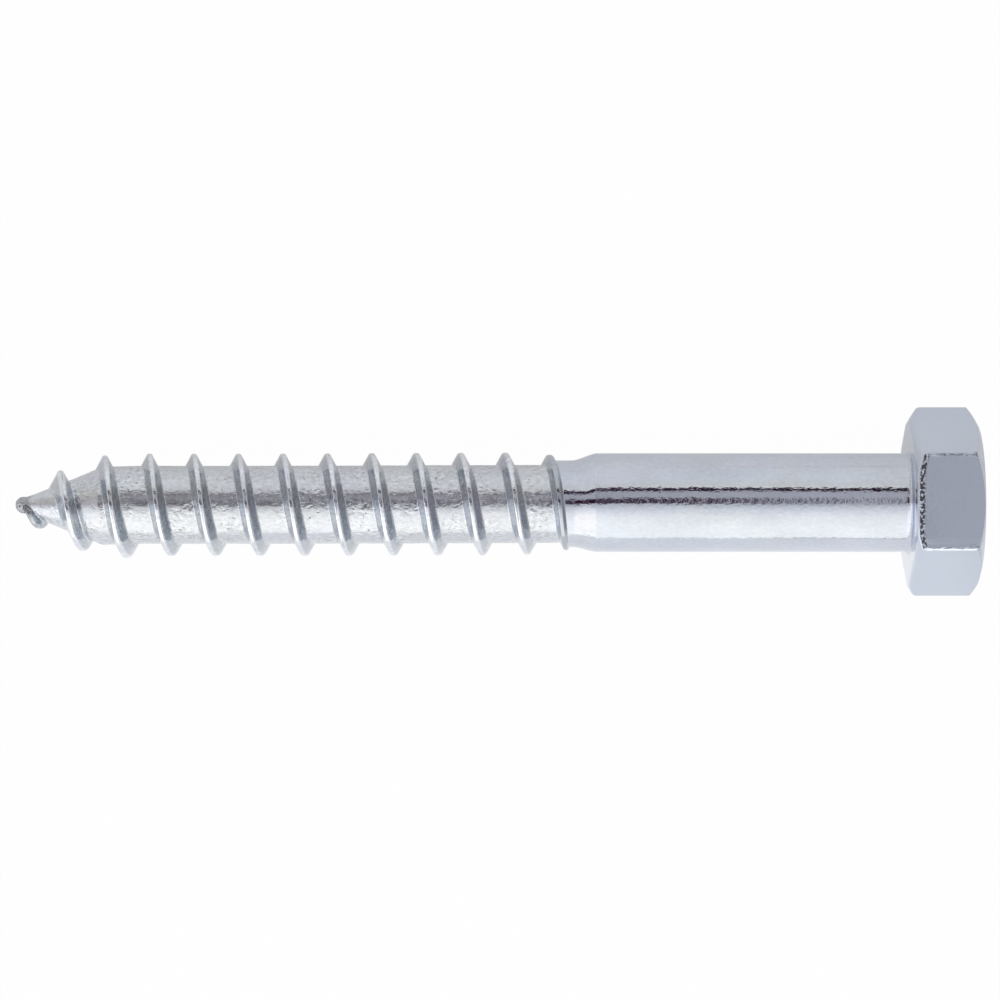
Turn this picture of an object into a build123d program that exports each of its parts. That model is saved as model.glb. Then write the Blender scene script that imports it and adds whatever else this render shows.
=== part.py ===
from build123d import *
from math import atan, ceil, cos, degrees, pi, radians, sin, tan
import os

# A hexagon-head lag screw, in millimetres and degrees. It is drawn upright on Z with its point
# down and z = 0 in the plane under the head, then laid on its side as it rests on a floor.

# Shank, neck and core
shank_diameter = 10.0
shank_length = 31.6
head_fillet = 0.6  # where the shank meets the head
neck_diameter = 8.8  # the bare blank between the shank and the thread
neck_length = 1.4
shoulder_angle = 15.0  # slope of the shoulder from the neck up to the shank
core_diameter = 7.9
point_length = 8.8  # gimlet point, from the end of the tip to the full core
tip_radius = 0.85  # the small ball left where the blank was pinched off
tip_pinch = 0.1  # how far the ball stands out round the start of the cone

# Thread
thread_diameter = 10.35
pitch = 4.5
threaded_length = 54.0  # full-pitch thread, measured from the end of the tip
groove_overrun = 0.65  # the groove keeps its depth this far past the full-pitch thread
flank_angle = 27.0  # lean of each flank from the radial direction
crest_round = 0.28  # radius of the rounded crest
point_lead = 10.4  # distance from the tip over which the crest rises to full size
grow_turns = 0.4  # part of a turn over which the ridge grows out of the tip
fade_turns = 2.0  # last turns, over which the crest sinks into the neck

# Hexagon head
across_flats = 16.6
head_height = 6.9
corner_round = 0.15  # worn corners of the hexagon
chamfer_angle = 30.0  # slope of the chamfer on the top face and on the bearing face
top_diameter = 16.0  # flat round face left inside the top chamfer
bearing_diameter = 16.8  # wider than the flats, so this chamfer takes off the corners only

# Radii, and places along the axis measured from the end of the tip
shank_radius = shank_diameter / 2
neck_radius = neck_diameter / 2
core_radius = core_diameter / 2
crest_radius = thread_diameter / 2
cone_start = tip_radius - tip_pinch
cone_slope = (core_radius - cone_start) / (point_length - tip_radius)
groove_end = threaded_length + groove_overrun
neck_start = groove_end + neck_radius - core_radius
neck_end = neck_start + neck_length
shank_start = neck_end + (shank_radius - neck_radius) / tan(radians(shoulder_angle))
length = shank_start + shank_length

# Places along the thread, in turns: zero is where the helix would leave the end of the tip
first_turn = tip_radius / pitch
slowing_turn = threaded_length / pitch
last_turn = slowing_turn + 1
samples_per_turn = 16
buried = 0.15  # depth of the ridge's foot in the core, so that the two cut each other cleanly


def core():
    """Everything round: the ball tip, cone, threaded core, neck, shoulder, shank and fillet."""
    fillet_start = (shank_radius, length - head_fillet)
    fillet_end = (shank_radius + head_fillet, length)
    in_head = length + head_height / 2
    outline = Polyline(
        (0, tip_radius),
        (cone_start, tip_radius),
        (core_radius, point_length),
        (core_radius, groove_end),
        (neck_radius, neck_start),
        (neck_radius, neck_end),
        (shank_radius, shank_start),
        fillet_start,
    )
    outline += Bezier(fillet_start, (shank_radius, length), fillet_end)
    outline += Polyline(fillet_end, (fillet_end[0], in_head), (0, in_head), (0, tip_radius))
    turned = revolve(Plane.XZ * make_face(outline), Axis.Z)
    return Pos(0, 0, -length) * (turned + Pos(0, 0, tip_radius) * Sphere(tip_radius))


def head():
    """A hexagonal prism with both its ends turned to a chamfer."""
    hexagon = RegularPolygon(across_flats / 2, 6, major_radius=False, rotation=30)
    hexagon = fillet(hexagon.vertices(), corner_round)
    reach = 0.6 * across_flats
    slope = tan(radians(chamfer_angle))
    turned = Polyline(
        (0, 0),
        (bearing_diameter / 2, 0),
        (reach, (reach - bearing_diameter / 2) * slope),
        (reach, head_height - (reach - top_diameter / 2) * slope),
        (top_diameter / 2, head_height),
        (0, head_height),
        close=True,
    )
    return extrude(hexagon, head_height) & revolve(Plane.XZ * make_face(turned), Axis.Z)


def core_at(place):
    """Radius of the threaded core, ahead of the neck."""
    return min(core_radius, cone_start + (place - tip_radius) * cone_slope)


def station(turn):
    """Place of the helix along the axis. In its last turn it slows down to a stop."""
    return pitch * (turn - max(0, turn - slowing_turn) ** 2 / 2)


def crest(turn):
    """Radius at the top of the ridge: it grows out of the point and sinks into the neck."""
    place = station(turn)
    rise = sin(pi / 2 * min(1, place / point_lead))
    full = tip_radius + (crest_radius - tip_radius) * rise
    hidden = core_at(place) - buried
    grown = sin(pi / 2 * min(1, (turn - first_turn) / grow_turns))
    faded = max(0, 1 - (last_turn - turn) / fade_turns) ** 2
    return hidden + (full - hidden) * grown - (crest_radius - neck_radius + buried) * faded


def section(turn):
    """The ridge's section at one angle, as radius and place: foot, four on the crest, foot."""
    lean = radians(flank_angle)
    top, middle = crest(turn), station(turn)
    crest_points = []
    for share in (-1, -1 / 3, 1 / 3, 1):
        angle = share * (pi / 2 - lean)
        place = middle + crest_round * sin(angle)
        crest_points.append((top - crest_round * (1 - cos(angle)), place))

    def foot(side, radius, place):
        foot_radius, foot_place = radius, place
        for _ in range(6):
            foot_radius = min(core_at(foot_place), radius) - buried
            foot_place = place + side * (radius - foot_radius) * tan(lean)
        return foot_radius, foot_place

    return [foot(-1, *crest_points[0]), *crest_points, foot(1, *crest_points[-1])]


def thread():
    """The helical ridge: ruled strips between spline rails, one set for each part turn."""
    tiny_turn = 1e-3
    rails = range(len(section(first_turn)))

    def spot(turn, rail):
        radius, place = section(turn)[rail]
        angle = 2 * pi * turn + pi / 2
        return Vector(radius * cos(angle), radius * sin(angle), place - length)

    def rail_edge(rail, start, end):
        turns = [start + (end - start) * i / samples_per_turn for i in range(samples_per_turn + 1)]
        slopes = []
        for turn in (start, end):
            before = max(first_turn, turn - tiny_turn)
            after = min(last_turn, turn + tiny_turn)
            slopes.append((spot(after, rail) - spot(before, rail)) / (after - before))
        points = [spot(turn, rail) for turn in turns]
        return Edge.make_spline(points, tangents=slopes, parameters=turns, scale=False)

    faces = []
    pieces = ceil(last_turn - first_turn)
    piece_turns = (last_turn - first_turn) / pieces
    for piece in range(pieces):
        start = first_turn + piece * piece_turns
        edges = [rail_edge(rail, start, start + piece_turns) for rail in rails]
        for edge, next_edge in zip(edges, edges[1:] + edges[:1]):
            faces.append(Face.make_surface_from_curves(edge, next_edge))
    for turn in (first_turn, last_turn):
        faces.append(Face(Wire.make_polygon([spot(turn, rail) for rail in rails])))
    ridge = Solid(Shell(faces))
    return ridge if ridge.volume > 0 else -ridge


def resting(upright):
    """The screw on its side: the head's lower edge and the first full crest touch the floor."""
    crest_turn = ceil(point_lead / pitch - 0.75) + 0.75
    between = length - station(crest_turn)
    tilt = degrees(atan((across_flats / 2 - crest_radius) / between))
    laid = Rot(0, 90 - tilt, 0) * upright
    box = laid.bounding_box()
    return Pos(-box.center().X, -box.center().Y, -box.min.Z) * laid


lag_screw = resting(core() + head() + thread())
os.makedirs("parts", exist_ok=True)
export_step(lag_screw, "parts/lag_screw.step")
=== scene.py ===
from math import atan, cos, pi, radians, sin, sqrt, tan
import bmesh
import bpy
from mathutils import Matrix, Vector


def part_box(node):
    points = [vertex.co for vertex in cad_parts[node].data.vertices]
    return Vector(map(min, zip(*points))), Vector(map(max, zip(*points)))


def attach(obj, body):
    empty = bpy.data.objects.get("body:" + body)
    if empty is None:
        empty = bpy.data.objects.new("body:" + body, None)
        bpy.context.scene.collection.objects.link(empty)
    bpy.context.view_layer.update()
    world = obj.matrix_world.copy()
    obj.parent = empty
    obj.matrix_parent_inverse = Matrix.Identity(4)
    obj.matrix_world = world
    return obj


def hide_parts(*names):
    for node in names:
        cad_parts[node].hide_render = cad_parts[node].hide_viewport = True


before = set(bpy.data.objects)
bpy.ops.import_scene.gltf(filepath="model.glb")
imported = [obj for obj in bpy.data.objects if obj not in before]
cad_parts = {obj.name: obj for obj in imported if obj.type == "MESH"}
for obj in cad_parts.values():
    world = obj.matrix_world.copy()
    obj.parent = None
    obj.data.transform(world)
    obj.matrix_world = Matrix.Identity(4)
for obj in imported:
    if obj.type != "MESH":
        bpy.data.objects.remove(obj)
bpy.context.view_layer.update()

# ---------------------------------------------------------------------------------------------
# Blank
# A length of mild steel wire, headed cold to a hexagon in a die. Its end faces are turned to a
# 30 degree chamfer, and the plain shank runs down over a shoulder to the thinner neck.
# ---------------------------------------------------------------------------------------------
mm = 0.001

shank_radius = 5.0 * mm
shank_length = 31.6 * mm
neck_radius = 4.4 * mm
neck_drift = 0.12 * mm  # the rolled end is bent a little off the shank's line
shoulder_slope = radians(15)
under_head_fillet = 0.6 * mm

across_flats = 16.6 * mm
head_height = 6.9 * mm
head_shift = 0.12 * mm  # the head is formed a little off the shank's axis
bearing_radius = 8.35 * mm  # wider than the flats, so this chamfer takes off the corners only
top_radius = 8.12 * mm
face_shift = 0.3 * mm  # how far the turned faces sit off the hexagon's centre
chamfer_slope = radians(30)
corner_radius = 0.28 * mm
bearing_edge = 0.6 * mm  # radius of the edge round the bearing face, rubbed by the trimming die
top_edge = 0.16 * mm
least_chamfer = 0.8  # of the edge's radius, where a flat lies inside the turned face

# Places along the axis, measured from the end of the point
pitch = 4.5 * mm
slowing_turn = 12.0  # where the helix starts to slow down; it stops one turn and half a pitch later
lead_error = 0.014  # of a pitch, gained over the first three turns
thread_end = pitch * (slowing_turn + 0.5 + lead_error)
neck_end = 56.5 * mm
shank_start = neck_end + (shank_radius - neck_radius) / tan(shoulder_slope)
bearing_plane = shank_start + shank_length

columns = 96  # round the screw, the same for the blank and for the thread
sector = columns // 6
half_flat = across_flats / 2
corner_centre = (half_flat - corner_radius) / cos(pi / 6)

rim_steps = 6  # round the worn edge of an end face
rim_knots = rim_steps + 3
flat_shares = (0.03, 0.05, 0.2, 0.4, 0.6, 0.8)  # rings up a flat, with two where a torn edge ends
face_rings = (6.2 * mm, 4.2 * mm, 2.2 * mm, 0.7 * mm)


def on_axis(turn, radius, place):
    """A point of the upright screw: the point is down and the bearing plane is at z = 0."""
    angle = 2 * pi * turn + pi / 2
    return Vector((radius * cos(angle), radius * sin(angle), place - bearing_plane))


def shank_rings():
    """Rings from the neck up over the shoulder and the shank, each a list of points."""

    def ring(radius, place, drift=0.0):
        points = [on_axis(column / columns, radius, place) for column in range(columns)]
        return [point - Vector((0, drift, 0)) for point in points]

    neck_top = neck_end - 0.1 * mm
    rings = [ring(neck_radius, thread_end, neck_drift), ring(neck_radius, neck_top, neck_drift)]
    shoulder_steps = 12
    shoulder_easing = 0.04
    for step in range(shoulder_steps + 1):
        share = step / shoulder_steps
        eased = share - shoulder_easing * sin(2 * pi * share)
        radius = neck_radius + (shank_radius - neck_radius) * eased
        place = neck_end + (shank_start - neck_end) * share
        rings.append(ring(radius, place, neck_drift * (1 - share)))
    shank_steps = 10
    fillet_start = bearing_plane - under_head_fillet
    for step in range(1, shank_steps + 1):
        share = step / shank_steps
        rings.append(ring(shank_radius, shank_start + (fillet_start - shank_start) * share))
    fillet_steps = 6
    for step in range(1, fillet_steps + 1):
        angle = pi / 2 * step / fillet_steps
        radius = shank_radius + under_head_fillet * (1 - cos(angle))
        rings.append(ring(radius, fillet_start + under_head_fillet * sin(angle)))
    return rings


def corner_turn(column):
    """Columns crowd together at the six corners, where the hexagon turns quickly."""
    shares = (0, 0.01, 0.022, 0.05, 0.12, 0.25, 0.46, 0.72, 1)  # of the way to mid-flat
    corner, step = divmod(column, sector)
    share = shares[step] / 2 if step <= sector // 2 else 1 - shares[sector - step] / 2
    return (corner + share) / 6


def hexagon_radius(turn):
    """Distance from the axis to the hexagon's side, with corners at whole sixths of a turn."""
    from_corner = abs((turn * 6 + 0.5) % 1 - 0.5) * pi / 3
    flat = half_flat / cos(pi / 6 - from_corner)
    reach = corner_radius**2 - (corner_centre * sin(from_corner)) ** 2
    if reach <= 0:
        return flat
    return min(flat, corner_centre * cos(from_corner) + sqrt(reach))


def rim(turn, face_radius, rounding):
    """Out over an end face, its chamfer and the worn edge, as radius and depth behind the face."""
    side = hexagon_radius(turn)
    off_centre = face_shift * sin(2 * pi * turn + pi / 2)
    over = max(least_chamfer * rounding, side + off_centre - face_radius)
    drop = over * tan(chamfer_slope)
    lead = rounding * tan((pi / 2 - chamfer_slope) / 2)
    knots = [(face_radius - 2 * rounding, 0), (side - over, 0)]
    for step in range(rim_steps + 1):
        angle = chamfer_slope + (pi / 2 - chamfer_slope) * step / rim_steps
        knots.append((side - rounding * (1 - sin(angle)), drop + lead - rounding * cos(angle)))
    return knots


def head_rings():
    """Rings out over the bearing face, up the flats and in over the top face."""
    turns = [corner_turn(column) for column in range(columns)]
    lower = [rim(turn, bearing_radius, bearing_edge) for turn in turns]
    upper = [rim(turn, top_radius, top_edge) for turn in turns]
    top = bearing_plane + head_height
    shift = Vector((0, head_shift, 0))

    def ring(column_points):
        return [on_axis(turn, *point) + shift for turn, point in zip(turns, column_points)]

    rings = []
    for knot in range(rim_knots):
        rings.append(ring([(edge[knot][0], bearing_plane + edge[knot][1]) for edge in lower]))
    for share in flat_shares:
        column_points = []
        for edge, far_edge in zip(lower, upper):
            start, end = bearing_plane + edge[-1][1], top - far_edge[-1][1]
            column_points.append((edge[-1][0], start + (end - start) * share))
        rings.append(ring(column_points))
    for knot in reversed(range(rim_knots)):
        rings.append(ring([(edge[knot][0], top - edge[knot][1]) for edge in upper]))
    for radius in face_rings:
        rings.append(ring([(radius, top)] * columns))
    return rings


blank_mesh = bpy.data.meshes.new("blank")
shape = bmesh.new()
layers = shape.verts.layers.float
trimmed, headed, grimy, burred = map(layers.new, ("trimmed", "headed", "grimy", "burred"))
shank = [[shape.verts.new(point) for point in ring] for ring in shank_rings()]
head = [[shape.verts.new(point) for point in ring] for ring in head_rings()]
for ring in head:
    for vertex in ring:
        vertex[headed] = 1

# The die trims the head at two opposite flats, one of them up. It tears the edge between flat and
# bearing face and nicks the corners at the top face. Up one corner edge of each flat shade is painted,
# a dark reflected line, and up the other a painted highlight, both over scuffs
trimmed_flats = (1, 4)
torn_shares = (0.7, 1, 1, 1, 0.7, 0)  # ring by ring, out of the chamfer and up onto the flat
torn_fading = 0.3  # the tear is weaker by this share at the flat's far end
nicked_rings = 4
nick_reach = 3  # columns to each side of a corner
nick_share = 0.5
corner_shares = (1, 1, 0.8)  # column by column, away from a corner to both sides
side_start = rim_knots - 1
top_rim_start = rim_knots + len(flat_shares)
for flat in trimmed_flats:
    start, end = flat * sector, (flat + 1) * sector
    for share, ring in zip(torn_shares, head[side_start - 3:]):
        for step in range(sector + 1):
            ring[start + step][trimmed] = share * (1 - torn_fading * step / sector)
    for ring in head[top_rim_start:top_rim_start + nicked_rings]:
        for step in range(-nick_reach, nick_reach + 1):
            ring[start + step][trimmed] = ring[end + step][trimmed] = nick_share
    # Painted shade up one corner edge of each flat and a painted highlight up the other, over scuffs
    for ring in head[side_start:top_rim_start + 1]:
        for step, share in enumerate(corner_shares):
            ring[start + step][grimy] = ring[start - step][grimy] = share
            ring[end + step][burred] = ring[end - step][burred] = share

rings = shank + head
for ring, above in zip(rings, rings[1:]):
    for i in range(columns):
        j = (i + 1) % columns
        shape.faces.new((ring[i], ring[j], above[j], above[i]))
pole = shape.verts.new(on_axis(0, 0, bearing_plane + head_height))
for i in range(columns):
    shape.faces.new((rings[-1][i], rings[-1][(i + 1) % columns], pole))
shape.to_mesh(blank_mesh)
shape.free()
screw = bpy.data.objects.new("plated_screw", blank_mesh)
bpy.context.scene.collection.objects.link(screw)

# ---------------------------------------------------------------------------------------------
# Rolled thread and point
# A coarse single-start ridge, rolled into the blank between dies, right-handed, with a gimlet
# point. The dies leave a seam along the crest, a lumpy root and a bead where the wire parted.
# ---------------------------------------------------------------------------------------------
core_radius = 3.95 * mm
crest_radius = 5.175 * mm

thread_sizes = {
    "Pitch": pitch,
    "Slowing Turn": slowing_turn,
    "Lead Error": lead_error,
    "Thread End": thread_end,
    "Length To Head": bearing_plane,
    "Core Radius": core_radius,
    "Neck Radius": neck_radius,
    "Crest Radius": crest_radius,
    "Crest Growth": 0.05 * mm,  # by which the ridge is higher at the neck than at the point
    "Crest Round": 0.2 * mm,
    "Crest Land": 0.08 * mm,
    "Flank Lean": radians(27),
    "Root Fillet": 0.16 * mm,
    "Closing Length": 0.3 * mm,  # over which both ends of the ridge close on the bare core
    "Buried": 0.15 * mm,  # depth of the ridge's foot in the core
    "Tip Radius": 0.85 * mm,
    "Cone Start": 0.72 * mm,
    "Point Length": 8.8 * mm,
    "Point Lead": 10.4 * mm,  # from the tip to the first crest of full height
    "Heavy Crest": 0.2 * mm,  # extra height of one crest, where metal was pushed up
    "Heavy Turn": 2.5,
    "First Turn": 0.19,
    "Grow Turns": 0.32,
    "Fade Turns": 2.0,
    "Seam Width": 0.06 * mm,
    "Seam Depth": 0.05 * mm,
    "Seam Wander": 0.12 * mm,
    "Hammering": 0.045 * mm,
    "Neck Drift": neck_drift,
    "Tip Drift": 0.22 * mm,
    "Point Sag": 0.13 * mm,
    "Sag Length": 12 * mm,
    "Cone End": 9 * mm,
}
thread_turns = slowing_turn + 2
thread_rows = int(thread_turns * columns)
thread_columns = 60  # across one pitch
crowding = -0.72  # how strongly the mesh gathers along the crest


class Field:
    """A number that varies over a node tree, written as sums and products of other such numbers."""

    def __init__(self, socket):
        self.socket = socket

    def math(self, operation, *others):
        node = self.socket.id_data.nodes.new("ShaderNodeMath")
        node.operation = operation
        for slot, value in zip(node.inputs, (self, *others)):
            feed(slot, value)
        return Field(node.outputs[0])

    def __add__(self, other):
        return self.math("ADD", other)

    def __sub__(self, other):
        return self.math("SUBTRACT", other)

    def __mul__(self, other):
        return self.math("MULTIPLY", other)

    def __truediv__(self, other):
        return self.math("DIVIDE", other)

    def least(self, other):
        return self.math("MINIMUM", other)

    def most(self, other):
        return self.math("MAXIMUM", other)

    def kept_to_one(self):
        return self.most(0.0).least(1.0)

    def eased(self):
        """From 0 to 1 without a corner at either end."""
        share = self.kept_to_one()
        return share * share * (share * -2 + 3)


def feed(slot, value):
    """Joins a field or a socket to an input, or sets the input to a plain value."""
    if isinstance(value, Field):
        value = value.socket
    if isinstance(value, bpy.types.NodeSocket):
        slot.id_data.links.new(value, slot)
    else:
        slot.default_value = value


def node_maker(tree):
    """Gives the function that adds a node to this tree, with its settings made and inputs fed."""

    def node(kind, inputs=None, **settings):
        made = tree.nodes.new(kind)
        for name, value in settings.items():
            setattr(made, name, value)
        for name, value in (inputs or {}).items():
            feed(made.inputs[name], value)
        return made

    return node


def thread_tree():
    """Rolls a flat strip up into the thread and the point, and joins it to the blank."""
    tree = bpy.data.node_groups.new("rolled_thread", "GeometryNodeTree")
    tree.interface.new_socket("Blank", in_out="INPUT", socket_type="NodeSocketGeometry")
    for name in thread_sizes:
        tree.interface.new_socket(name, in_out="INPUT", socket_type="NodeSocketFloat")
    tree.interface.new_socket("Finish", in_out="INPUT", socket_type="NodeSocketMaterial")
    tree.interface.new_socket("Screw", in_out="OUTPUT", socket_type="NodeSocketGeometry")
    node = node_maker(tree)
    given = node("NodeGroupInput")
    size = {name: Field(given.outputs[name]) for name in thread_sizes}

    def noise(place, per_mm, detail, seed):
        """A cloudy pattern round zero, with so many lumps in a millimetre."""
        cloudy = {"Vector": place, "Scale": per_mm / mm, "Detail": detail, "W": seed}
        return Field(node("ShaderNodeTexNoise", cloudy, noise_dimensions="4D").outputs[0]) - 0.5

    # A flat strip: one way along the helix in turns, the other way across one pitch
    strip = node("GeometryNodeMeshGrid", {
        "Size X": thread_turns,
        "Size Y": 1,
        "Vertices X": thread_rows + 1,
        "Vertices Y": thread_columns + 1,
    })
    where = node("ShaderNodeSeparateXYZ", {0: node("GeometryNodeInputPosition").outputs[0]})
    turn = Field(where.outputs[0]) + (thread_turns / 2 - 0.5)
    across = Field(where.outputs[1])
    along = turn + across + (across * (2 * pi)).math("SINE") * (crowding / (2 * pi))

    def station(turns):
        """Place along the axis. The helix runs slightly long at first, and slows at the neck."""
        slowed = (turns - size["Slowing Turn"]).kept_to_one()
        moving = turns.most(0.0).least(size["Slowing Turn"]) + slowed
        moving = moving + (turns / 3).kept_to_one() * size["Lead Error"]
        return (moving - slowed * slowed / 2) * size["Pitch"]

    tip = size["Tip Radius"]
    stop = size["Thread End"]
    raw_place = station(along)
    round_tip = ((raw_place / tip).kept_to_one() * (pi / 2)).math("COSINE")
    place = raw_place.most(tip) - tip * round_tip

    # The core: a bead, the cone of the point, then the full core, which rises to the neck
    def core_at(spot, body):
        cone_slope = (size["Core Radius"] - size["Cone Start"]) / (size["Point Length"] - tip)
        none_in_bead = (tip - spot).most(0.0) * 100
        cone = size["Cone Start"] + (spot - tip) * cone_slope - none_in_bead
        bead = (tip * tip - (spot - tip) * (spot - tip)).most(0.0).math("SQRT")
        return bead.most(cone.least(body))

    lap = turn.math("FRACT")
    step_turn = size["Slowing Turn"] + lap.least((lap * -1 + 1) * 3)
    risen = ((along - step_turn) / 0.1 + 0.5).eased()
    body = size["Core Radius"] + (size["Neck Radius"] - size["Core Radius"]) * risen
    core = core_at(place, body)

    # The ridge: its top grows out of the point and sinks into the neck
    middle = station(turn)
    to_neck = (middle / stop).kept_to_one()
    at_full = size["Crest Radius"] + size["Crest Growth"] * to_neck * to_neck
    out_of_point = ((middle / size["Point Lead"]).kept_to_one() * (pi / 2)).math("SINE")
    full = tip + (at_full - tip) * out_of_point
    hidden = core_at(middle, size["Core Radius"]) - size["Buried"]
    grown = ((turn - size["First Turn"]) / size["Grow Turns"]).kept_to_one()
    last_turn = size["Slowing Turn"] + 1
    faded = ((last_turn - turn) / size["Fade Turns"] * -1 + 1).most(0.0)
    sink = (size["Crest Radius"] - size["Neck Radius"] + size["Buried"]) * faded * faded
    heavy = ((turn - size["Heavy Turn"]).math("ABSOLUTE") * -4 + 1).eased() * size["Heavy Crest"]
    top = hidden + (full - hidden) * (grown * (pi / 2)).math("SINE") + heavy - sink

    # Its section: a round crest between straight flanks, blunter over the first turn
    off = ((place - middle).math("ABSOLUTE") - size["Crest Land"]).most(0.0)
    bend = size["Crest Round"] * ((turn * -1 + 1).kept_to_one() * 1.1 + 1)
    lean = size["Flank Lean"]
    round_top = top - bend + (bend * bend - off * off).most(0.0).math("SQRT")
    flank = top - bend + bend / lean.math("SINE") - off / lean.math("TANGENT")
    on_flank = off.math("GREATER_THAN", bend * lean.math("COSINE"))
    ridge = round_top + (flank - round_top) * on_flank

    blend = size["Root Fillet"] * (place / tip).kept_to_one()
    closing = size["Closing Length"]
    from_ends = (place / closing).kept_to_one() * ((stop - place) / closing).kept_to_one()
    radius = core + (core.math("SMOOTH_MAX", ridge, blend) - core) * from_ends

    # Marks of rolling: lumps in the root, and a broken seam along the crest
    angle = turn * (2 * pi) + pi / 2
    spot = node("ShaderNodeCombineXYZ", {
        0: core * angle.math("COSINE"),
        1: core * angle.math("SINE"),
        2: place,
    }).outputs[0]
    height = ((radius - core) / (size["Crest Radius"] - size["Core Radius"])).kept_to_one()
    last_rolled = stop - 1 * mm
    before_neck = ((last_rolled - place) / (1.6 * mm)).eased()
    inside = ((place - tip) / tip).kept_to_one() * before_neck
    fine = noise(spot, per_mm=0.9, detail=2, seed=3)
    broad = noise(spot, per_mm=0.3, detail=1, seed=8)
    lumps = fine + broad * 1.2
    radius = radius + lumps * size["Hammering"] * (height * -0.7 + 1) * inside
    wander = noise(spot, per_mm=0.26, detail=1, seed=21) * size["Seam Wander"]
    off_seam = (place - middle + wander).math("ABSOLUTE") / size["Seam Width"]
    unbroken = ((noise(spot, per_mm=0.5, detail=2, seed=5) - 0.02) * 6).kept_to_one()
    standing = ((top - core - 0.3 * mm) / (0.4 * mm)).kept_to_one()
    seam = (off_seam * -1 + 1).kept_to_one() * unbroken * standing * inside
    radius = radius - seam * size["Seam Depth"]

    # The blank is bent on its way through the dies, and the point sags
    to_tip = (place / stop * -1 + 1).kept_to_one()
    leaning = (size["Tip Drift"] - size["Neck Drift"]) * (to_tip * 1.8).kept_to_one()
    sagging = ((place / size["Sag Length"]).kept_to_one() * pi).math("SINE") * size["Point Sag"]
    bent = size["Neck Drift"] + leaning + sagging

    # What the zinc needs to know, kept while the strip is still flat
    foot = ((height - 0.12).math("ABSOLUTE") * -7 + 1).kept_to_one()
    by_tip = (turn * -1.3 + 1.6).kept_to_one() * 0.85 + 0.15
    by_tip = by_tip * standing.most((turn * -2 + 2).kept_to_one())
    marks = {
        "ridge_height": height,
        "fold": foot * by_tip * ((turn - 0.15) * 9).kept_to_one(),
        "seam": seam,
        "bead": ((place - tip * 1.5) / (0.6 * mm) * -1 + 1).kept_to_one(),
        "rolled": before_neck,
        "cone": ((size["Cone End"] - place) / (2 * mm)).eased(),
    }
    marked = strip.outputs[0]
    for name, value in marks.items():
        stored = {"Geometry": marked, "Name": name, "Value": value}
        marked = node("GeometryNodeStoreNamedAttribute", stored, data_type="FLOAT").outputs[0]

    placed = node("ShaderNodeCombineXYZ", {
        0: radius * angle.math("COSINE"),
        1: radius * angle.math("SINE") - bent,
        2: place - size["Length To Head"],
    }).outputs[0]
    rolled = node("GeometryNodeSetPosition", {"Geometry": marked, "Position": placed}).outputs[0]
    joined = node("GeometryNodeJoinGeometry")
    for part in (rolled, given.outputs["Blank"]):
        feed(joined.inputs[0], part)
    touching = {"Geometry": joined.outputs[0], "Distance": 0.002 * mm}
    merged = node("GeometryNodeMergeByDistance", touching).outputs[0]
    smooth = node("GeometryNodeSetShadeSmooth", {"Geometry": merged}).outputs[0]
    real = node("GeometryNodeRealizeInstances", {0: smooth}).outputs[0]
    finishing = {"Geometry": real, "Material": given.outputs["Finish"]}
    finished = node("GeometryNodeSetMaterial", finishing).outputs[0]
    node("NodeGroupOutput", {0: finished})
    return tree


# ---------------------------------------------------------------------------------------------
# Zinc plate
# Bright zinc, plated in a barrel over the whole screw: a cool silver with a fine orange peel,
# faint draw lines along the shank, duller and rougher where the thread was rolled.
# ---------------------------------------------------------------------------------------------
plain_zinc = (0.605, 0.65, 0.74, 1)
rolled_zinc = (0.63, 0.662, 0.71, 1)
flank_zinc = (0.6, 0.652, 0.715, 1)
head_zinc = (0.592, 0.647, 0.745, 1)
warm_zinc = (0.655, 0.665, 0.665, 1)
violet_zinc = (0.62, 0.6, 0.695, 1)
# specks, creases and seam marks, and the painted shade of the head's torn edge and corner lines
dark_marks_and_painted_shade = (0.045, 0.04, 0.05, 1)

# At rest the screw tilts nose-down, from the edge of its head onto this crest
first_full_crest = 2.75  # in turns: the ridge reaches its full size here, on the floor side
tilt = atan((half_flat - crest_radius) / (bearing_plane - pitch * first_full_crest))


def mixed(node, share, low, high):
    """A blend of two colours. A Mix node's colour sockets go by number, as others bear their names."""
    return node("ShaderNodeMix", {"Factor": share, 6: low, 7: high}, data_type="RGBA").outputs[2]


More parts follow.
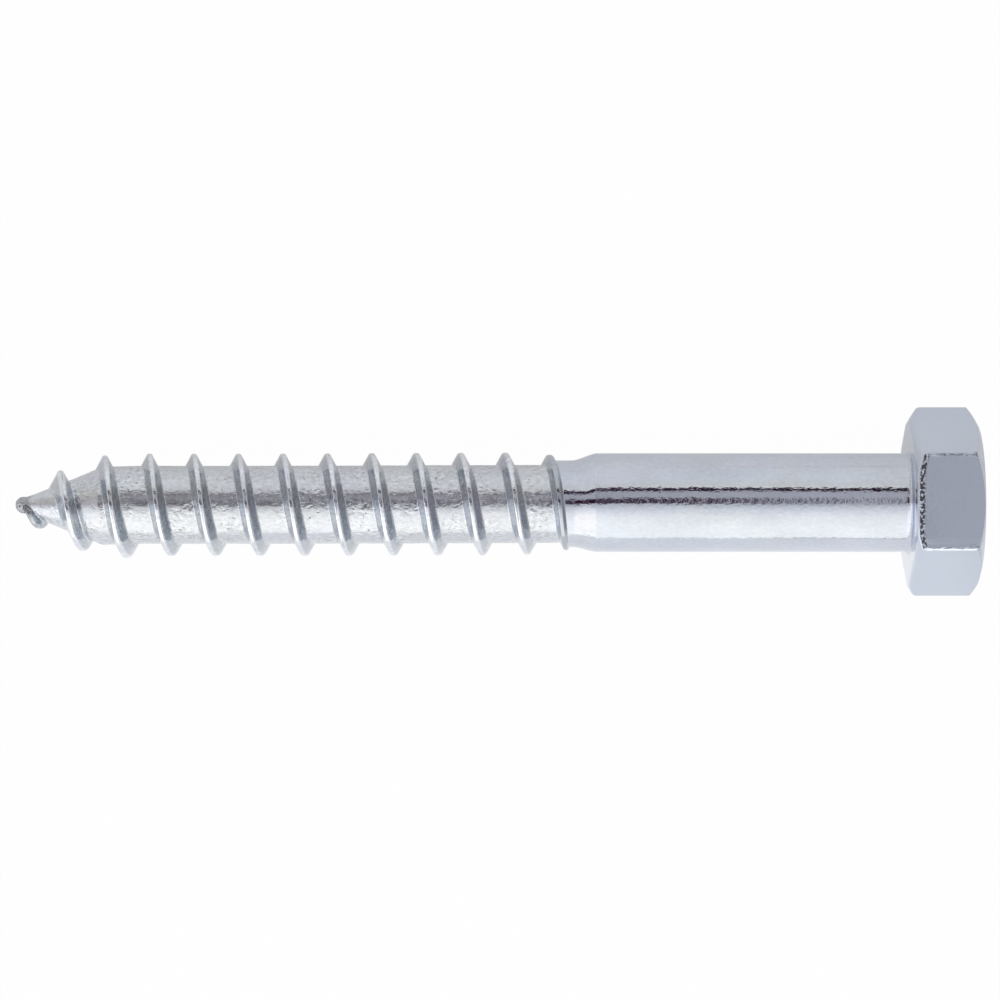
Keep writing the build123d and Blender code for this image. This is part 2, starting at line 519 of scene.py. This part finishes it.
def zinc_plate():
    zinc = bpy.data.materials.new("bright_zinc_plate")
    zinc.use_nodes = True
    node = node_maker(zinc.node_tree)

    # Millimetres along and across the upright screw
    upright = node("ShaderNodeMapping", {
        "Vector": node("ShaderNodeTexCoord").outputs["Object"],
        "Location": (0, 0, half_flat),
        "Rotation": (0, pi / 2 - tilt, 0),
        "Scale": (mm, mm, mm),
    }, vector_type="TEXTURE").outputs[0]

    def noise(per_mm, detail, seed, drawn=1.0, rough=0.5):
        """A cloudy pattern round zero, with so many lumps in a millimetre, drawn out along the axis."""
        place = node("ShaderNodeMapping", {
            "Vector": upright,
            "Location": (seed, -seed, seed / 2),
            "Scale": (per_mm, per_mm, per_mm / drawn),
        }).outputs[0]
        cloudy = {"Vector": place, "Scale": 1, "Detail": detail, "Roughness": rough}
        return Field(node("ShaderNodeTexNoise", cloudy).outputs[0]) - 0.5

    def kept(name):
        return Field(node("ShaderNodeAttribute", attribute_name=name).outputs["Fac"])

    rolled, ridge, fold, seam = kept("rolled"), kept("ridge_height"), kept("fold"), kept("seam")
    bead, cone, in_head = kept("bead"), kept("cone"), kept("headed")
    trimmed, grimy, burred = kept("trimmed"), kept("grimy"), kept("burred")
    root = rolled * (ridge * -1.6 + 1).kept_to_one()
    flank = (ridge * 5).kept_to_one() * (ridge * -4 + 4).kept_to_one()
    crest = (ridge * 8 - 7).kept_to_one()
    off_head = in_head * -1 + 1

    # Colour: a cool silver, greyer in the thread, with faint warm and violet patches
    cast = noise(per_mm=0.22, detail=2, seed=31, drawn=1.5)
    tone = mixed(node, rolled, plain_zinc, rolled_zinc)
    tone = mixed(node, flank, tone, flank_zinc)
    tone = mixed(node, in_head, tone, head_zinc)
    tone = mixed(node, (cast * 5 + 0.1).kept_to_one() * off_head * 0.25, tone, warm_zinc)
    tone = mixed(node, (cast * -5 + 0.1).kept_to_one() * off_head * 0.35, tone, violet_zinc)

    # Shade: mottled and dark on the bead, with painted shade on the flanks and a painted highlight on
    # the crests, up one corner edge of each trimmed flat and, a little, in the root on the point's cone
    clouds = noise(per_mm=0.35, detail=3, seed=11, drawn=2)
    patches = (noise(per_mm=0.45, detail=2, seed=83, drawn=1.5) * 5 + 0.45).kept_to_one()
    mottled = noise(per_mm=3, detail=2, seed=5, drawn=1.5) * (rolled * (patches * 1.2 + 0.25) + 0.4)
    shade = ((clouds * 0.5 + mottled) * 0.5 * (in_head * -0.8 + 1)).most(-0.3).least(0.18)
    # Painted light: highlights on the crests, a corner edge and the cone's root, painted shade on the
    # flanks
    shade = shade + crest * 0.2 + burred * 0.35 + cone * root * 0.02 - flank * 0.19 - bead * 0.28
    shaded = node("ShaderNodeHueSaturation", {"Color": tone, "Value": shade + 1}).outputs[0]

    # Dark marks: specks in the root, creases by the point and the seam. Painted shade: the torn edge
    # and one corner edge of each trimmed flat
    specks = noise(per_mm=4.2, detail=2, seed=47, drawn=1.2) + patches * 0.07 + bead * 0.06 - 0.2
    specks = (specks * 14).kept_to_one() * (root * 0.75 + bead * 0.9)
    creases = noise(per_mm=2.2, detail=2, seed=67) + fold * 0.34 - 0.22
    creases = (creases * 14).kept_to_one() * fold.math("SQRT")
    # Painted shade: near-black pits on the torn edge and the nicks stand for the edge's dark reflection
    torn_edge_painted_dark = ((noise(per_mm=3.6, detail=2, seed=57) + 0.05) * 25).kept_to_one()
    torn_edge_painted_dark = torn_edge_painted_dark * (trimmed * 3 - 1).kept_to_one()
    # Painted shade: the dark line reflected up one corner edge of each trimmed flat, broken by noise
    painted_corner_shade = ((noise(per_mm=2.4, detail=2, seed=71) + 0.16) * 5).kept_to_one() * grimy * 0.24
    pits_and_painted_shade = specks.most(torn_edge_painted_dark).most(creases * 0.9).most(seam * 0.8).most(painted_corner_shade)

    # Relief, in millimetres: orange peel, draw lines along the shank, and a hammered root
    peel = noise(per_mm=3.2, detail=2, seed=3, drawn=1.6) * 0.012
    peel = peel + noise(per_mm=7, detail=1, seed=9, drawn=1.3) * 0.0035
    lines = noise(per_mm=1.5, detail=2, seed=17, drawn=14) * 0.006
    swell = noise(per_mm=0.4, detail=1, seed=23, drawn=2) * 0.02
    hammered = noise(per_mm=1.8, detail=2, seed=41, drawn=1.3) * (patches * 0.08 + 0.02)
    dents = noise(per_mm=2.3, detail=1, seed=61, drawn=1.6) - 0.12
    dents = dents.most(0.0) * (patches * -0.08 - 0.09)
    torn = noise(per_mm=4.5, detail=3, seed=53, rough=0.65) * 0.12
    scuffs = noise(per_mm=3, detail=2, seed=79, drawn=2) * 0.1
    smooth_head = in_head * (trimmed * -1 + 1)
    height = peel * (smooth_head * -0.7 + 1) * (rolled * 0.4 + 1) + lines * (rolled * -1 + 1) + swell
    height = height + (hammered + dents) * root + torn * trimmed + scuffs * (burred + grimy)
    relief = node("ShaderNodeBump", {"Height": height, "Distance": mm, "Strength": 1}).outputs[0]

    roughness = root * 0.135 + ridge * 0.02 + trimmed * 0.1 + bead * 0.28 + clouds * 0.05 + 0.062
    shader = zinc.node_tree.nodes["Principled BSDF"]
    feed(shader.inputs["Metallic"], 1)
    feed(shader.inputs["Base Color"], mixed(node, pits_and_painted_shade * 0.93, shaded, dark_marks_and_painted_shade))
    feed(shader.inputs["Roughness"], roughness)
    feed(shader.inputs["Normal"], relief)
    return zinc


# ---------------------------------------------------------------------------------------------
# Finished screw
# One piece of plated steel, the blank with its thread rolled on. Nothing holds it: it lies as it
# comes to rest, on the edge of its head and on its first full crest, with a flat of the head up.
# ---------------------------------------------------------------------------------------------
rolling = screw.modifiers.new("rolled_thread", "NODES")
rolling.node_group = thread_tree()
settings = {**thread_sizes, "Finish": zinc_plate()}
for item in rolling.node_group.interface.items_tree:
    if item.name in settings:
        rolling[item.identifier] = settings[item.name]
even_faces = screw.modifiers.new("even_faces", "WEIGHTED_NORMAL")
even_faces.keep_sharp = True
whole = bpy.data.meshes.new_from_object(screw.evaluated_get(bpy.context.evaluated_depsgraph_get()))
screw.modifiers.clear()
screw.data = whole

laid_down = Matrix.Rotation(pi / 2 - tilt, 4, "Y")
whole.transform(laid_down)
cad_low, cad_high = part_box("lag_screw")
head_end = max(vertex.co.x for vertex in whole.vertices)
underside = min(vertex.co.z for vertex in whole.vertices)
bearing_centre = Vector((cad_high.x - head_end, 0, cad_low.z - underside))
whole.transform(Matrix.Translation(bearing_centre))

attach(screw, "root")
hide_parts("lag_screw")

# ---------------------------------------------------------------------------------------------
# Paper
# A wide sheet of matt white paper, laid flat under the screw. Mirrored in the metal it glows with a
# painted light, bright on the softbox's side, and painted darker on the other side and past the head.
# ---------------------------------------------------------------------------------------------
reach = 3.0  # from the middle of the sheet to its sides
corners = [(-reach, -reach, 0), (reach, -reach, 0), (reach, reach, 0), (-reach, reach, 0)]
floor_mesh = bpy.data.meshes.new("floor")
floor_mesh.from_pydata(corners, [], [(0, 1, 2, 3)])
floor = bpy.data.objects.new("floor", floor_mesh)
bpy.context.scene.collection.objects.link(floor)


def ramp(value, first, last, low, high):
    """A level that runs from low to high as the value goes from first to last."""
    return ((value - first) / (last - first)).kept_to_one() * (high - low) + low


def white_paper():
    paper = bpy.data.materials.new("white_paper")
    paper.use_nodes = True
    node = node_maker(paper.node_tree)
    shader = paper.node_tree.nodes["Principled BSDF"]
    shader.inputs["Base Color"].default_value = (0.86, 0.86, 0.86, 1)
    shader.inputs["Roughness"].default_value = 1
    shader.inputs["Specular IOR Level"].default_value = 0

    place = node("ShaderNodeSeparateXYZ", {0: node("ShaderNodeTexCoord").outputs["Object"]})
    # Painted light and shade: how much the paper glows in reflections, set by where it lies
    lit = ramp(Field(place.outputs[1]), -4 * mm, 4 * mm, 0.93, 0.35)
    lit = lit * ramp(Field(place.outputs[0]), 48 * mm, 70 * mm, 1, 0.2)
    ray = node("ShaderNodeLightPath").outputs
    shown = Field(ray["Is Camera Ray"]) * 0.98 + Field(ray["Is Glossy Ray"]) * lit
    shown = shown + Field(ray["Is Transmission Ray"]) * 0.4
    glow = node("ShaderNodeEmission").outputs[0]
    both = node("ShaderNodeMixShader", {0: shown, 1: shader.outputs[0], 2: glow}).outputs[0]
    feed(paper.node_tree.nodes["Material Output"].inputs["Surface"], both)
    return paper


floor_mesh.materials.append(white_paper())

# ---------------------------------------------------------------------------------------------
# Studio
# A long softbox stands low on the -Y side, under a plain ceiling and a grey wall. The dark gaps
# between them are what draws the two lines along the shank. The room differs along its length.
# ---------------------------------------------------------------------------------------------
grey = (1, 1, 1)
softbox = (2.2, 2.17, 2.04)
bright_box = (2.36, 2.33, 2.28)
near_box = (2.26, 2.12, 1.96)
warm = (1, 0.99, 0.95)
fringe = (1, 0.965, 0.89)
ceiling = (1, 0.985, 1.04)
gap = (1.7, 0.55, 1.5)
dusk = (1.1, 0.93, 1.1)
violet = (1.02, 0.965, 1)
brown = (1.04, 0.995, 0.92)
blue = (0.98, 0.99, 1.02)

# Each stop is an angle from straight up, positive toward +Y, with a colour and a brightness
box = [(-90, softbox, 0.62), (-57, softbox, 0.61), (-32, softbox, 0.55)]
box += [(-18, grey, 0.98), (-9.5, grey, 0.8)]
wall = [(35.6, fringe, 1.05), (39, warm, 0.79), (44, warm, 0.81), (60, grey, 0.83), (90, grey, 0.8)]
gaps = [(-3, grey, 0.6), (-1.5, gap, 0.025), (9.5, gap, 0.025), (11.5, ceiling, 0.5)]
gaps += [(25.6, ceiling, 0.49), (26.8, gap, 0.02), (33.7, gap, 0.02)]
over_shank = box + gaps + wall
over_shoulder = [(-90, softbox, 0.67), (-57, near_box, 0.68), (-32, near_box, 0.65)]
over_shoulder += [(-18, grey, 1.1), (-9.5, grey, 0.8)] + gaps + wall
over_head = box + [(-6, grey, 0.62), (-3.5, ceiling, 0.55), (12, ceiling, 0.53)]
over_head += [(26.5, ceiling, 0.49), (28, gap, 0.01), (34, gap, 0.01)] + wall
over_thread = [(-90, bright_box, 0.62), (-57, bright_box, 0.61), (-32, bright_box, 0.55)]
over_thread += [(-18, grey, 1.0), (-9.5, grey, 0.78), (-3, grey, 0.5), (-1, dusk, 0.15)]
over_thread += [(9, dusk, 0.15), (12, ceiling, 0.38), (25, ceiling, 0.4), (28, dusk, 0.18)]
over_thread += [(34, dusk, 0.2), (38, grey, 0.66), (52, grey, 0.88), (75, grey, 0.9), (90, grey, 0.82)]
past_tip = [(-90, grey, 1.45), (-40, grey, 1.35), (-12, grey, 1.0), (0, violet, 0.6)]
past_tip += [(50, brown, 0.59), (90, brown, 0.72)]
past_head = [(-90, blue, 0.48), (-50, blue, 0.475), (-10, violet, 0.55), (10, violet, 0.54)]
past_head += [(50, brown, 0.43), (90, brown, 0.41)]

full_light = 2  # the colour ramps hold half of each level, because their colours end at 1


def studio():
    world = bpy.context.scene.world or bpy.data.worlds.new("studio")
    bpy.context.scene.world = world
    world.use_nodes = True
    node = node_maker(world.node_tree)
    direction = node("ShaderNodeSeparateXYZ", {0: node("ShaderNodeTexCoord").outputs["Generated"]})
    along, across, up = (Field(output) for output in direction.outputs)
    turned = across.math("ARCTAN2", up) / pi + 0.5

    def strip_of_light(stops):
        made = node("ShaderNodeValToRGB", {0: turned})
        elements = made.color_ramp.elements
        while len(elements) < len(stops):
            elements.new(0.5)
        for element, (angle, tint, light) in zip(elements, stops):
            element.position = angle / 180 + 0.5
            element.color = (*(channel * light / full_light for channel in tint), 1)
        return made.outputs[0]

    # The room from its middle outward, each strip blended in by how far a ray points along X
    room = strip_of_light(over_thread)
    for first, last, stops in (
        (-0.045, -0.03, over_shank),
        (-0.22, -0.3, over_shoulder),
        (0.0, 0.07, over_head),
        (0.42, 0.65, past_head),
        (-0.6, -0.75, past_tip),
    ):
        room = mixed(node, ramp(along, first, last, 0, 1), room, strip_of_light(stops))

    background = world.node_tree.nodes["Background"]
    feed(background.inputs["Color"], room)
    feed(background.inputs["Strength"], full_light)
    white = node("ShaderNodeBackground", {"Color": (1, 1, 1, 1)}).outputs[0]
    seen = node("ShaderNodeLightPath").outputs["Is Camera Ray"]
    both = node("ShaderNodeMixShader", {0: seen, 1: background.outputs[0], 2: white}).outputs[0]
    feed(world.node_tree.nodes["World Output"].inputs["Surface"], both)


studio()

# ---------------------------------------------------------------------------------------------
# Camera
# A long lens looks down on the screw, square to its axis, with the head to the right. Plain
# colour, and no depth of field.
# ---------------------------------------------------------------------------------------------
camera_data = bpy.data.cameras.new("camera")
camera_data.lens = 135
camera_data.sensor_width = 36
camera_data.clip_start = 0.01
camera = bpy.data.objects.new("camera", camera_data)
bpy.context.scene.collection.objects.link(camera)
view_distance = 379.7 * mm
centre_below_head = 41.29 * mm
centre_aside = 0.27 * mm
axis = laid_down @ Vector((0, 0, 1))
away = laid_down @ Vector((-1, 0, 0))
side = Vector((0, 1, 0))
eye = bearing_centre - axis * centre_below_head + side * centre_aside + away * view_distance
turned = Matrix((axis, side, away)).transposed().to_4x4()
camera.matrix_world = Matrix.Translation(eye) @ turned
bpy.context.scene.camera = camera
bpy.context.scene.view_settings.view_transform = "Standard"
